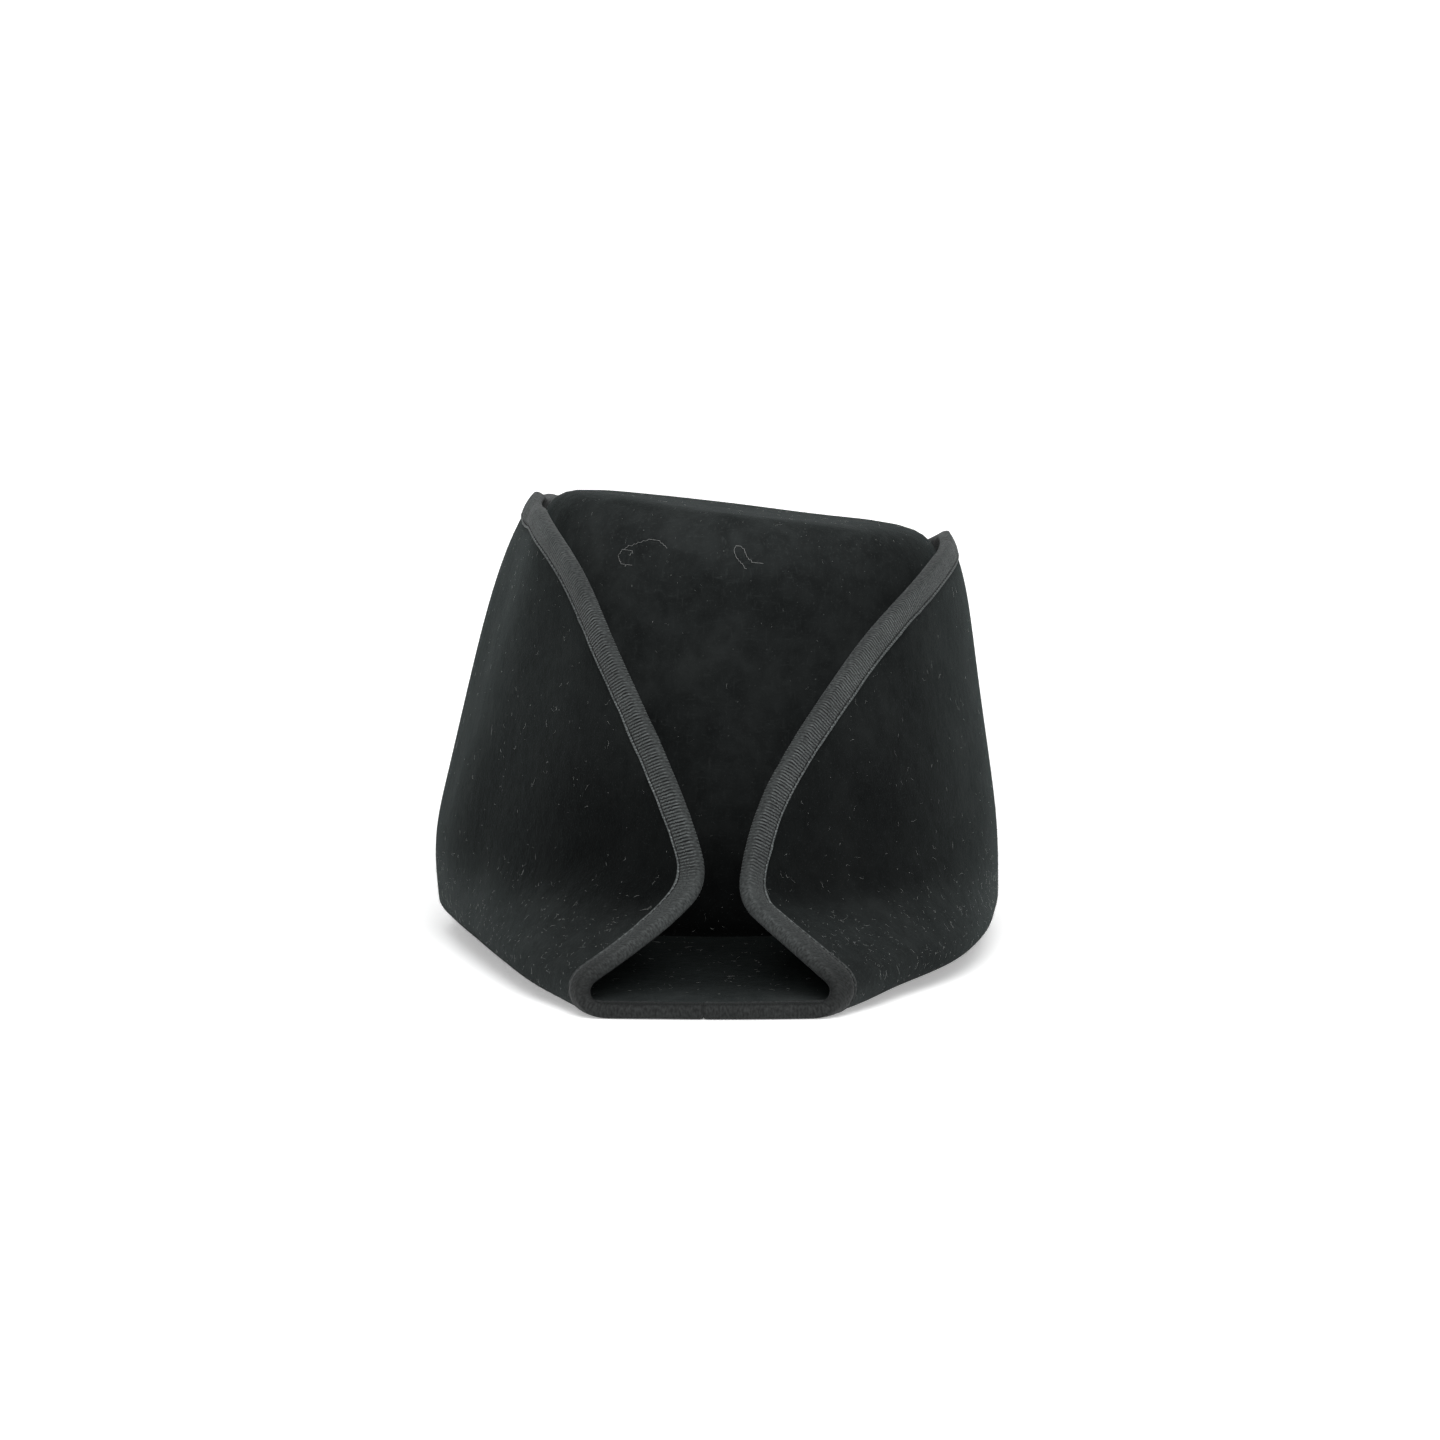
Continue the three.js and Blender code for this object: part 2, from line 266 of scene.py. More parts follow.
def edge_place(turn, inset):
    rear = np.cos(turn) < 0
    depth = np.where(rear, REAR_DEPTH, FRONT_DEPTH)
    half = HEAD_X + depth
    at = abs(np.sin(turn))
    past = np.where(rear, columns(REAR_EDGE, at)[:, 0], columns(FRONT_EDGE, at)[:, 0]) * depth
    nx, ny = np.cos(turn) / half, np.sin(turn) / HALF_SPAN
    size = np.hypot(nx, ny)
    x = half * np.cos(turn) + np.sign(np.cos(turn)) * past - inset * nx / size
    return x, HALF_SPAN * np.sin(turn) - inset * ny / size


def path_length(points, bend_reach):
    """Travelled length at each point of each path, where bends count as length."""
    step = np.diff(points, axis=-2)
    length = np.linalg.norm(step, axis=-1)
    heading = step / np.maximum(length[..., None], 1e-9)
    bend = np.arccos(np.clip((heading[..., 1:, :] * heading[..., :-1, :]).sum(-1), -1, 1))
    length[..., 1:] += bend * bend_reach
    return np.concatenate([np.zeros_like(length[..., :1]), np.cumsum(length, -1)], -1)


def mesh_piece(name, points, faces, material, uv=None, shares=None, smooth=True):
    """A piece from points in millimetres. Its shares are values at each point that the material reads."""
    mesh = bpy.data.meshes.new(name)
    faces = np.asarray(faces)
    mesh.vertices.add(len(points))
    mesh.vertices.foreach_set("co", (np.asarray(points) * 0.001).astype(np.float32).ravel())
    mesh.loops.add(faces.size)
    mesh.loops.foreach_set("vertex_index", faces.astype(np.int32).ravel())
    mesh.polygons.add(len(faces))
    mesh.polygons.foreach_set("loop_start", (np.arange(len(faces)) * faces.shape[1]).astype(np.int32))
    if uv is not None:
        layer = mesh.uv_layers.new(name="across")
        layer.data.foreach_set("uv", uv[faces].astype(np.float32).ravel())
    for key, values in (shares or {}).items():
        layer = mesh.attributes.new(key, "FLOAT", "POINT")
        layer.data.foreach_set("value", np.asarray(values).astype(np.float32).ravel())
    mesh.polygons.foreach_set("use_smooth", np.full(len(faces), smooth))
    mesh.materials.append(material)
    mesh.update(calc_edges=True)
    mesh.validate()
    piece = bpy.data.objects.new(name, mesh)
    bpy.context.scene.collection.objects.link(piece)
    return piece


def grid_faces(rows, count, closed):
    """Quads between rows of points, each row holding count points round the hat."""
    row, i = np.meshgrid(np.arange(rows - 1), np.arange(count if closed else count - 1), indexing="ij")
    after = (i + 1) % count
    upper, lower = row * count, (row + 1) * count
    return np.stack([upper + i, lower + i, lower + after, upper + after], -1).reshape(-1, 4)


# Materials


def new_material(name):
    material = bpy.data.materials.new(name)
    material.use_nodes = True
    nodes, links = material.node_tree.nodes, material.node_tree.links
    shader = next(n for n in nodes if n.type == "BSDF_PRINCIPLED")

    def add(kind, **values):
        node = nodes.new(kind)
        for key, value in values.items():
            if key in node.inputs:
                node.inputs[key].default_value = value
            else:
                setattr(node, key, value)
        return node

    return material, shader, add, links.new


def ramp(add, source, link, stops):
    node = add("ShaderNodeValToRGB")
    band = node.color_ramp
    while len(band.elements) < len(stops):
        band.elements.new(0.5)
    for element, (at, color) in zip(band.elements, stops):
        element.position = at
        element.color = (*color, 1) if len(color) == 3 else color
    link(source, node.inputs["Fac"])
    return node.outputs["Color"]


def times_painted_shading(add, link, color):
    """A colour times the painted light and shade of the mesh."""
    scaled = add("ShaderNodeVectorMath", operation="SCALE")
    link(color, scaled.inputs["Vector"])
    link(add("ShaderNodeAttribute", attribute_name="painted_shading").outputs["Fac"], scaled.inputs["Scale"])
    return scaled.outputs["Vector"]


def multiplied(add, link, under, over):
    """One colour times another."""
    mix = add("ShaderNodeMix", data_type="RGBA", blend_type="MULTIPLY")
    mix.inputs["Factor"].default_value = 1
    link(under, mix.inputs["A"])
    link(over, mix.inputs["B"])
    return mix.outputs["Result"]


def felt_material():
    """Wool felt: near black, cloudy, with lighter fibres felted into it in every direction."""
    material, shader, add, link = new_material("wool_felt")
    where = add("ShaderNodeTexCoord").outputs["Object"]

    def noise(scale, detail=2.0, distortion=0.0, turn=None):
        source = where
        if turn:
            mapping = add("ShaderNodeMapping", Rotation=turn[0], Scale=turn[1])
            link(where, mapping.inputs["Vector"])
            source = mapping.outputs["Vector"]
        node = add("ShaderNodeTexNoise", Scale=scale, Detail=detail, Distortion=distortion)
        link(source, node.inputs["Vector"])
        return node.outputs["Fac"]

    def layered(under, mask, color):
        mix = add("ShaderNodeMix", data_type="RGBA", blend_type="MIX")
        link(mask, mix.inputs["Factor"])
        link(under, mix.inputs["A"])
        mix.inputs["B"].default_value = (*color, 1)
        return mix.outputs["Result"]

    color = ramp(
        add,
        noise(38, 5),
        link,
        [(0.3, (0.0054, 0.0061, 0.0061)), (0.52, (0.0074, 0.0083, 0.0083)), (0.7, (0.0098, 0.0109, 0.0108))],
    )
    clouds = ramp(add, noise(150, 5, 0.6), link, [(0.34, (0.84, 0.84, 0.84)), (0.66, (1.18, 1.18, 1.18))])
    color = multiplied(add, link, color, clouds)
    # The turn and the stretch of each set of fibres
    fibre_sets = [
        ((0.3, 0.2, 0.1), (1, 1, 0.16)),
        ((1.2, 0.5, 0.9), (1, 0.16, 1)),
        ((0.5, 1.1, 2.1), (0.16, 1, 1)),
    ]
    for turn in fibre_sets:
        mask = ramp(add, noise(1100, 1, 0.6, turn), link, [(0.62, (0, 0, 0)), (0.78, (0.6, 0.6, 0.6))])
        color = layered(color, mask, (0.0128, 0.0142, 0.0141))
    flecks = ramp(add, noise(1500, 0), link, [(0.84, (0, 0, 0)), (0.88, (1, 1, 1))])
    color = layered(color, flecks, (0.04, 0.043, 0.042))
    # The felt's colour is scaled by its painted light and shade
    link(times_painted_shading(add, link, color), shader.inputs["Base Color"])

    rough = ramp(add, noise(60, 3), link, [(0.3, (0.84, 0.84, 0.84)), (0.7, (1, 1, 1))])
    link(rough, shader.inputs["Roughness"])
    shader.inputs["Specular IOR Level"].default_value = 0.03
    shader.inputs["Sheen Weight"].default_value = 0.045
    shader.inputs["Sheen Roughness"].default_value = 0.42
    shader.inputs["Sheen Tint"].default_value = (0.74, 0.90, 0.89, 1)

    coarse = add("ShaderNodeBump", Strength=0.4, Distance=0.0007)
    link(noise(240, 3), coarse.inputs["Height"])
    fine = add("ShaderNodeBump", Strength=0.7, Distance=0.00028)
    link(noise(1400, 2, 0.8), fine.inputs["Height"])
    link(coarse.outputs["Normal"], fine.inputs["Normal"])
    link(fine.outputs["Normal"], shader.inputs["Normal"])
    return material


RIB_PITCH = 1.2
STITCH_PITCH = 2.6


def ribbon_material():
    """Petersham, laid out in millimetres along it and across it, where 0 is its fold and 8 each selvedge."""
    material, shader, add, link = new_material("petersham_ribbon")
    uv = add("ShaderNodeUVMap", uv_map="across").outputs["UV"]
    split = add("ShaderNodeSeparateXYZ")
    link(uv, split.inputs["Vector"])
    along, across = split.outputs["X"], split.outputs["Y"]

    def calc(operation, a, b=None, c=None):
        node = add("ShaderNodeMath", operation=operation)
        for socket, value in zip(node.inputs, (a, b, c)):
            if isinstance(value, (int, float)):
                socket.default_value = value
            elif value is not None:
                link(value, socket)
        return node.outputs["Value"]

    def wave(source, pitch):
        """A wave between 0 and 1, with one crest for each pitch."""
        return calc("MULTIPLY_ADD", calc("SINE", calc("MULTIPLY", source, 2 * math.pi / pitch)), 0.5, 0.5)

    def noise(scale, detail, stretch=(1, 1, 1)):
        mapping = add("ShaderNodeMapping", Scale=stretch)
        link(uv, mapping.inputs["Vector"])
        node = add("ShaderNodeTexNoise", Scale=scale, Detail=detail)
        link(mapping.outputs["Vector"], node.inputs["Vector"])
        return node.outputs["Fac"]

    def only_where(factor, color):
        """White that passes into a colour where the factor is 1."""
        mix = add("ShaderNodeMix", data_type="RGBA", blend_type="MIX")
        link(factor, mix.inputs["Factor"])
        mix.inputs["A"].default_value = (1, 1, 1, 1)
        link(color, mix.inputs["B"])
        return mix.outputs["Result"]

    def grey(source, stops):
        return ramp(add, source, link, [(at, (value, value, value)) for at, value in stops])

    drifted = calc("ADD", along, calc("MULTIPLY", noise(0.35, 2, (0.9, 3.4, 1)), 0.9))
    ribs = wave(drifted, RIB_PITCH)
    grain = noise(1.5, 2)
    # A ramp runs from 0 to 1, so a tenth of the millimetres: 0 at the fold and 0.8 at each selvedge
    breadth = calc("DIVIDE", calc("ABSOLUTE", across), 10)

    tone = ramp(
        add,
        noise(0.06, 3),
        link,
        [(0.3, (0.0245, 0.0268, 0.0268)), (0.55, (0.0312, 0.0342, 0.0341)), (0.75, (0.0384, 0.0416, 0.0413))],
    )
    # Across the ribbon: painted shade darkens the stitch groove, and the raised selvedge is paler
    bands = [(0.0, 0.95), (0.2, 1.0), (0.615, 1.05), (0.65, 0.36), (0.735, 0.36), (0.755, 2.5), (0.8, 1.8)]
    color = multiplied(add, link, tone, grey(breadth, bands))
    rib_place = calc(
        "MULTIPLY",
        grey(breadth, [(0.0, 0.0), (0.12, 1.0), (0.62, 1.0), (0.66, 0.3)]),
        add("ShaderNodeAttribute", attribute_name="ribs").outputs["Fac"],
    )
    rib_place = calc("MULTIPLY", rib_place, grey(noise(0.5, 3), [(0.3, 0.45), (0.6, 1.0)]))
    ribbed = calc("MULTIPLY", ribs, rib_place)
    # Painted light on the crests of the ribs and painted shade between them
    rib_painted_light_shade = grey(ribs, [(0.14, 0.03), (0.42, 0.65), (0.75, 2.3)])
    color = multiplied(add, link, color, only_where(rib_place, rib_painted_light_shade))
    color = multiplied(add, link, color, grey(grain, [(0.36, 0.62), (0.64, 1.42)]))
    prick_place = grey(breadth, [(0.625, 0.0), (0.655, 1.0), (0.745, 1.0), (0.765, 0.0)])
    pricks = grey(wave(drifted, STITCH_PITCH / 2), [(0.25, 0.25), (0.7, 2.2)])
    color = multiplied(add, link, color, only_where(prick_place, pricks))
    worn = grey(noise(1.6, 3, (1, 2.4, 1)), [(0.62, 1.0), (0.74, 1.5)])
    color = multiplied(add, link, color, worn)
    # The ribbon's colour is scaled by its painted light and shade
    link(times_painted_shading(add, link, color), shader.inputs["Base Color"])

    link(grey(grain, [(0.3, 0.88), (0.7, 0.64)]), shader.inputs["Roughness"])
    shader.inputs["Specular IOR Level"].default_value = 0.22
    shader.inputs["Sheen Weight"].default_value = 0.05
    shader.inputs["Sheen Roughness"].default_value = 0.4
    shader.inputs["Sheen Tint"].default_value = (0.88, 0.94, 0.94, 1)

    weave = add("ShaderNodeBump", Strength=0.6, Distance=0.00016)
    link(noise(2.4, 1), weave.inputs["Height"])
    cords = add("ShaderNodeBump", Strength=0.9, Distance=0.0005)
    link(ribbed, cords.inputs["Height"])
    link(weave.outputs["Normal"], cords.inputs["Normal"])
    link(cords.outputs["Normal"], shader.inputs["Normal"])
    return material


def thread_material(name, color, roughness, scale):
    material, shader, add, link = new_material(name)
    where = add("ShaderNodeTexCoord").outputs["Object"]
    twist = add("ShaderNodeTexNoise", Scale=scale, Detail=2)
    link(where, twist.inputs["Vector"])
    low = tuple(c * 0.7 for c in color)
    high = tuple(c * 1.25 for c in color)
    link(ramp(add, twist.outputs["Fac"], link, [(0.35, low), (0.65, high)]), shader.inputs["Base Color"])
    shader.inputs["Roughness"].default_value = roughness
    shader.inputs["Specular IOR Level"].default_value = 0.25
    bump = add("ShaderNodeBump", Strength=0.4, Distance=0.00005)
    link(twist.outputs["Fac"], bump.inputs["Height"])
    link(bump.outputs["Normal"], shader.inputs["Normal"])
    return material


felt_look = felt_material()
ribbon_look = ribbon_material()
stitch_look = thread_material("sewing_thread", (0.009, 0.010, 0.010), 0.7, 4000)
nap_look = thread_material("felt_nap_fibre", (0.030, 0.036, 0.036), 0.9, 900)
lint_look = thread_material("pale_lint", (0.32, 0.33, 0.32), 0.9, 3000)
hair_look = thread_material("pale_hair", (0.26, 0.265, 0.26), 0.6, 2500)

# The felt

STATIONS = 440
CROWN_ROWS = 30
BRIM_ROWS = 58
FOOT_ROWS = 8
SAMPLES = 400
QUARTER_SAMPLES = 1200
# Where points are spaced, a bend of one radian counts as this many millimetres
STATION_BEND = 60
ROW_BEND = 30


def station_turns(count, bend_reach):
    """Angles round the edge, in even steps of length and bend, with a station at each tip and middle."""
    turns = []
    for start in np.radians([0, 90, 180, 270]):
        fine = start + np.linspace(0, math.pi / 2, QUARTER_SAMPLES)
        travelled = path_length(brim_plain(*edge_place(fine, 0)), bend_reach)
        goals = np.linspace(0, travelled[-1], count // 4 + 1)[:-1]
        turns.append(np.interp(goals, travelled, fine))
    return np.concatenate(turns)


def even_shares(travelled, share, rows):
    """Shares that split each travelled path into even rows."""
    return np.stack([np.interp(np.linspace(0, t[-1], rows + 1), t, share) for t in travelled])


def between(start, end, share):
    return start[:, None] * (1 - share) + end[:, None] * share


def felt_grid():
    """The middle of the felt, from the top of the crown to the edge: points, outward directions and painted
    light and shade.
    """
    turns = station_turns(STATIONS, STATION_BEND)
    share = np.linspace(0, 1, SAMPLES)
    fine_turn = np.repeat(turns[:, None], SAMPLES, 1)
    fine_share = np.repeat(share[None, :], STATIONS, 0)
    travelled = path_length(crown(fine_turn, fine_share), ROW_BEND)
    crown_share = even_shares(travelled, share, CROWN_ROWS)
    crown_turn = np.repeat(turns[:, None], CROWN_ROWS + 1, 1)
    crown_points = crown(crown_turn, crown_share)
    crown_out = crown_normal(crown_turn, crown_share)

    foot_x, foot_y = (HEAD_X + FOOT_RADIUS) * np.cos(turns), (HEAD_Y + FOOT_RADIUS) * np.sin(turns)
    end_x, end_y = edge_place(turns, 0.0)
    fine_places = between(foot_x, end_x, fine_share), between(foot_y, end_y, fine_share)
    travelled = path_length(brim_plain(*fine_places), ROW_BEND)
    brim_share = even_shares(travelled, share, BRIM_ROWS)
    places = between(foot_x, end_x, brim_share), between(foot_y, end_y, brim_share)
    points, out = brim(*places)
    # Painted light and shade on the brim and the crown, the crown's passing into the brim's at its foot
    painted_shading = brim_painted_shading(*places, points[..., 2])
    crown_shading = crown_painted_shading(crown_points[..., 2])
    by_foot = smoothstep(np.arange(CROWN_ROWS + 1), CROWN_ROWS - FOOT_ROWS, CROWN_ROWS)
    crown_shading += (painted_shading[:, :1] - crown_shading) * by_foot
    crown_out[:, -1] += out[:, 0]
    crown_out[:, -1] /= np.linalg.norm(crown_out[:, -1], axis=-1, keepdims=True)
    points = np.concatenate([crown_points, points[:, 1:]], 1)
    out = np.concatenate([crown_out, out[:, 1:]], 1)
    painted_shading = np.concatenate([crown_shading, painted_shading[:, 1:]], 1)
    return points.transpose(1, 0, 2), out.transpose(1, 0, 2), painted_shading.T


# The crown is a little uneven too: heading, phase, length and height of each wave
CROWN_WAVES = [
    (rng.normal(size=3), rng.uniform(0, 2 * math.pi), rng.uniform(45, 110), rng.uniform(0.15, 0.3))
    for _ in range(8)
]
CROWN_WAVES_START = (REST_HEIGHT + 15, REST_HEIGHT + 60)
EDGE_BULGE = 0.02  # of the last row's step


def unevenness(points):
    total = np.zeros(points.shape[:-1])
    for heading, phase, length, height in CROWN_WAVES:
        heading = heading / np.linalg.norm(heading)
        total += height * np.sin(2 * math.pi * (points @ heading) / length + phase)
    return total


middle, outward, felt_painted_shading = felt_grid()
crown_part = np.arange(len(middle)) <= CROWN_ROWS
fade = smoothstep(middle[..., 2], *CROWN_WAVES_START) * crown_part[:, None]
middle = middle + outward * (unevenness(middle) * fade)[..., None]
outer, inner = middle + outward * HALF_FELT, middle - outward * HALF_FELT
shift_x = -(outer[..., 0].min() + outer[..., 0].max()) / 2
SHIFT = np.array([shift_x, 0, 0])

# Outer face, cut edge and inner face are one closed skin, with one point at the middle of each top
edge_row = middle[-1:] + (middle[-1:] - middle[-2:-1]) * EDGE_BULGE
rows = np.concatenate([outer[1:], edge_row, inner[:0:-1]])
body = rows.reshape(-1, 3)
skin = grid_faces(len(rows), STATIONS, True)
top_out, top_in = len(body), len(body) + 1
points = np.concatenate([body, outer[:1, 0], inner[:1, 0]]) + SHIFT
# Painted light and shade at each point of the felt
painted_shading = np.concatenate([felt_painted_shading[1:], felt_painted_shading[-1:], felt_painted_shading[:0:-1]]).ravel()
painted_shading = np.concatenate([painted_shading, felt_painted_shading[0, :1], felt_painted_shading[0, :1]])
i = np.arange(STATIONS)
after = (i + 1) % STATIONS
last = (len(rows) - 1) * STATIONS
caps = np.concatenate(
    [
        np.stack([np.full(STATIONS, top_out), i, after], -1),
        np.stack([np.full(STATIONS, top_in), last + after, last + i], -1),
    ]
)
triangles = np.concatenate([skin[:, [0, 1, 2]], skin[:, [0, 2, 3]], caps])
felt = mesh_piece("felt_hat", points, triangles, felt_look, shares={"painted_shading": painted_shading})
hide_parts("felt_body")
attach(felt, "root")

# The ribbon

EDGE_SAMPLES = 24001
fine_turn = np.linspace(0, 2 * math.pi, EDGE_SAMPLES)
fine_edge = brim_plain(*edge_place(fine_turn, 0.0))
edge_length = path_length(fine_edge, 0)
PERIMETER = edge_length[-1]
JOINT_X = -5.6  # the ribbon's ends meet beside the middle of the near tip
JOINT_GAP = 0.1
TIP_DEPTH = 4
JOINT_REACH = 2
near_tip = (fine_edge[:, 1] < -HALF_SPAN + TIP_DEPTH) & (abs(fine_edge[:, 0] - JOINT_X) < JOINT_REACH)
joint_length = np.interp(JOINT_X, fine_edge[near_tip, 0], edge_length[near_tip])
RIBBON_STATIONS = 4600


def edge_turn(along):
    """Angles round the edge at some lengths along the ribbon."""
    return np.interp((joint_length + JOINT_GAP / 2 + along) % PERIMETER, edge_length, fine_turn)


ribbon_length = PERIMETER - JOINT_GAP
stretch = np.linspace(0, ribbon_length, RIBBON_STATIONS)
ribbon_turn = edge_turn(stretch)


def smooth_noise(along, pitch, seed):
    """Soft random values along the ribbon, one knot for each pitch."""
    values = np.random.default_rng(seed).uniform(-1, 1, int(PERIMETER / pitch) + 3)
    k = (along / pitch).astype(int)
    u = along / pitch - k
    u = u * u * (3 - 2 * u)
    return values[k] * (1 - u) + values[k + 1] * u


def edge_sway(along):
    """How far the selvedges wander from their course."""
    return 0.28 * smooth_noise(along, 34, 3) + 0.1 * smooth_noise(along, 7, 4)


# Reach of the leg that shows, at shares of the way from the middle of a flap to a tip, and of both together
LEG_AT = [0, 0.35, 0.7, 0.86, 0.93, 0.975, 0.99, 1]
LEG_SEEN = [8.0, 7.7, 6.6, 5.4, 5.2, 5.6, 6.3, 6.6]
BOTH_LEGS = 13.6


def leg_length(turn, side):
    """How far the ribbon reaches in from the edge: side -1 is the face away from the crown, which shows."""
    seen = np.interp(abs(np.sin(turn)), LEG_AT, LEG_SEEN)
    return seen if side < 0 else BOTH_LEGS - seen


# One row of the ribbon each: share of the leg, height over the felt, share of the ribs, and how much it
# follows the stitches and the puckers
LEG_ROWS = [
    (1.035, 0.03, 0.0, 0.0, 0.7),
    (1.03, 0.56, 0.0, 0.0, 1.0),
    (0.985, 0.76, 0.15, 0.2, 0.9),
    (0.905, 0.40, 0.3, 1.0, 0.4),
    (0.82, 0.92, 0.9, 0.2, 0.15),
    (0.62, 1.06, 1.0, 0.0, 0.0),
    (0.40, 1.08, 1.0, 0.0, 0.0),
    (0.18, 1.04, 0.7, 0.0, 0.0),
]
CAP_ANGLES = np.radians([72, 45, 18, -18, -45, -72])
CAP_REACH = 1.0
CAP_HEIGHT = HALF_FELT + 1.0
CAP_RIBS = 0.7
CAP_INSET = 2.0  # how far in the edge's own direction is measured from
SELVEDGE = 8  # how far across the ribbon its selvedges lie
RIB_HEIGHT = 0.11
RIBS_END = (190, 205)  # along the hat
STITCH_DIP = 0.16


def ribbon_rows():
    """Points of the ribbon, and how far across it each row lies: most at the selvedge that shows."""
    rows, across = [], []
    sway = edge_sway(stretch)
    prick = np.cos(2 * math.pi * stretch / STITCH_PITCH)
    rib = np.cos(2 * math.pi * stretch / RIB_PITCH)
    rib_amount = RIB_HEIGHT * (0.75 + 0.25 * smooth_noise(stretch, 60, 5))
    by_tip = smoothstep(abs(HALF_SPAN * np.sin(ribbon_turn)), *RIBS_END)
    rib_amount = rib_amount * (1 - 0.7 * by_tip)
    for side in (1, -1):
        pucker = np.maximum(0, smooth_noise(stretch, 6, 8 + side)) ** 2 * 0.4
        pucker += np.maximum(0, smooth_noise(stretch, 45, 12 + side) - 0.3) * 0.5
        for share, height, ribs, stitch, lift in LEG_ROWS[::side]:
            inset = share * (leg_length(ribbon_turn, side) + sway)
            point, out = brim(*edge_place(ribbon_turn, inset))
            over = height + ribs * rib_amount * rib - stitch * STITCH_DIP * (1 + prick) + lift * pucker
            rows.append(point + side * out * (HALF_FELT + over)[:, None])
            across.append(-side * share * SELVEDGE)
    point, out = brim(*edge_place(ribbon_turn, 0.0))
    behind, _ = brim(*edge_place(ribbon_turn, CAP_INSET))
    away = point - behind
    away /= np.linalg.norm(away, axis=-1, keepdims=True)
    swell = 1 + 0.03 * smooth_noise(stretch, 18, 21)[:, None]
    wale = (rib_amount * rib * CAP_RIBS)[:, None]
    cap = []
    for angle in CAP_ANGLES:
        direction = away * CAP_REACH * math.cos(angle) + out * CAP_HEIGHT * math.sin(angle)
        unit = direction / np.linalg.norm(direction, axis=-1, keepdims=True)
        cap.append(point + direction * swell + unit * wale)
    half = len(LEG_ROWS)
    return rows[:half] + cap + rows[half:], across[:half] + [-angle for angle in CAP_ANGLES] + across[half:]


ribbon, ribbon_across = ribbon_rows()
ribbon = np.array(ribbon)
# The two ends turn down to the felt at the joint
END_DROP = 0.35
END_REACH = 0.5
END_INSET = 1.5
end_drop = np.exp(-stretch / END_REACH) + np.exp(-(ribbon_length - stretch) / END_REACH)
ribbon_middle, _ = brim(*edge_place(ribbon_turn, END_INSET))
toward = ribbon_middle - ribbon
toward /= np.linalg.norm(toward, axis=-1, keepdims=True)
ribbon = ribbon + toward * (END_DROP * end_drop)[None, :, None]
along_and_across = np.broadcast_arrays(stretch[None, :], np.array(ribbon_across)[:, None])
ribbon_uv = np.stack(along_and_across, -1).reshape(-1, 2)
ribbon_height = ribbon[..., 2]
# Painted light and shade: the ribbon is painted darker low down by the tips, paler above them, and paler
# again near the apex of each flap
ribbon_painted_shading = 0.34 + 0.76 * smoothstep(ribbon_height, 8, 34) + 0.6 * smoothstep(ribbon_height, 140, 166)
# The ribs show on the steep stretches, between the apex of each flap and the pinch
ribbon_ribs = smoothstep(ribbon_height, 40, 54) * (1 - 0.85 * smoothstep(ribbon_height, 124, 148))
binding = mesh_piece(
    "ribbon_binding",
    ribbon.reshape(-1, 3) + SHIFT,
    grid_faces(len(ribbon), RIBBON_STATIONS, False),
    ribbon_look,
    uv=ribbon_uv,
    shares={"painted_shading": ribbon_painted_shading, "ribs": ribbon_ribs},
)
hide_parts("edge_binding")
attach(binding, "root")


def tubes(paths, radii, sides):
    """Thin tapering tubes along paths: points (tubes, steps, 3) and quads."""
    paths, radii = np.asarray(paths), np.asarray(radii)
    count, steps = paths.shape[:2]
    heading = np.gradient(paths, axis=1)
    heading /= np.maximum(np.linalg.norm(heading, axis=-1, keepdims=True), 1e-9)
    aside = np.cross(heading, np.array([0.31, 0.17, 0.93]))
    aside /= np.maximum(np.linalg.norm(aside, axis=-1, keepdims=True), 1e-9)
    above = np.cross(heading, aside)
    turn = 2 * math.pi * np.arange(sides) / sides
    ring = aside[:, :, None] * np.cos(turn)[:, None] + above[:, :, None] * np.sin(turn)[:, None]
    points = paths[:, :, None] + ring * radii[:, :, None, None]
    n, j, k = np.meshgrid(np.arange(count), np.arange(steps - 1), np.arange(sides), indexing="ij")

    def corner(step, side):
        return (n * steps + step) * sides + side % sides

    quads = np.stack([corner(j, k), corner(j, k + 1), corner(j + 1, k + 1), corner(j + 1, k)], -1)
    return points.reshape(-1, 3), quads.reshape(-1, 4)


# The stitches, one run near each selvedge

STITCH_STEPS = np.linspace(-0.5, 0.5, 5)
STITCH_FIRST = 1.2
STITCH_SPAN = 1.55
STITCH_PLACE = 0.905  # share of the leg, the row of the ribbon that the stitches press down
STITCH_HEIGHT = 0.44
STITCH_BOW = 0.16
STITCH_RADIUS = 0.17
stitch_start = np.arange(STITCH_FIRST, ribbon_length - 2, STITCH_PITCH)
stitch_paths, stitch_radii = [], []
for side in (1, -1):
    middle_along = stitch_start[:, None] + STITCH_STEPS * STITCH_SPAN + STITCH_PITCH / 2
    along = np.clip(middle_along, 0, ribbon_length)
    turn = edge_turn(along)
    point, out = brim(*edge_place(turn, STITCH_PLACE * (leg_length(turn, side) + edge_sway(along))))
    height = HALF_FELT + STITCH_HEIGHT + STITCH_BOW * (1 - (2 * STITCH_STEPS) ** 2)
    stitch_paths.append(point + side * out * height[None, :, None])
    radius = STITCH_RADIUS * np.sqrt(1.08 - (2 * STITCH_STEPS) ** 2)
    stitch_radii.append(np.broadcast_to(radius, along.shape))
points, quads = tubes(np.concatenate(stitch_paths), np.concatenate(stitch_radii), 5)
stitches = mesh_piece("binding_stitches", points + SHIFT, quads, stitch_look)
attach(stitches, "root")

# Nap, lint and hairs

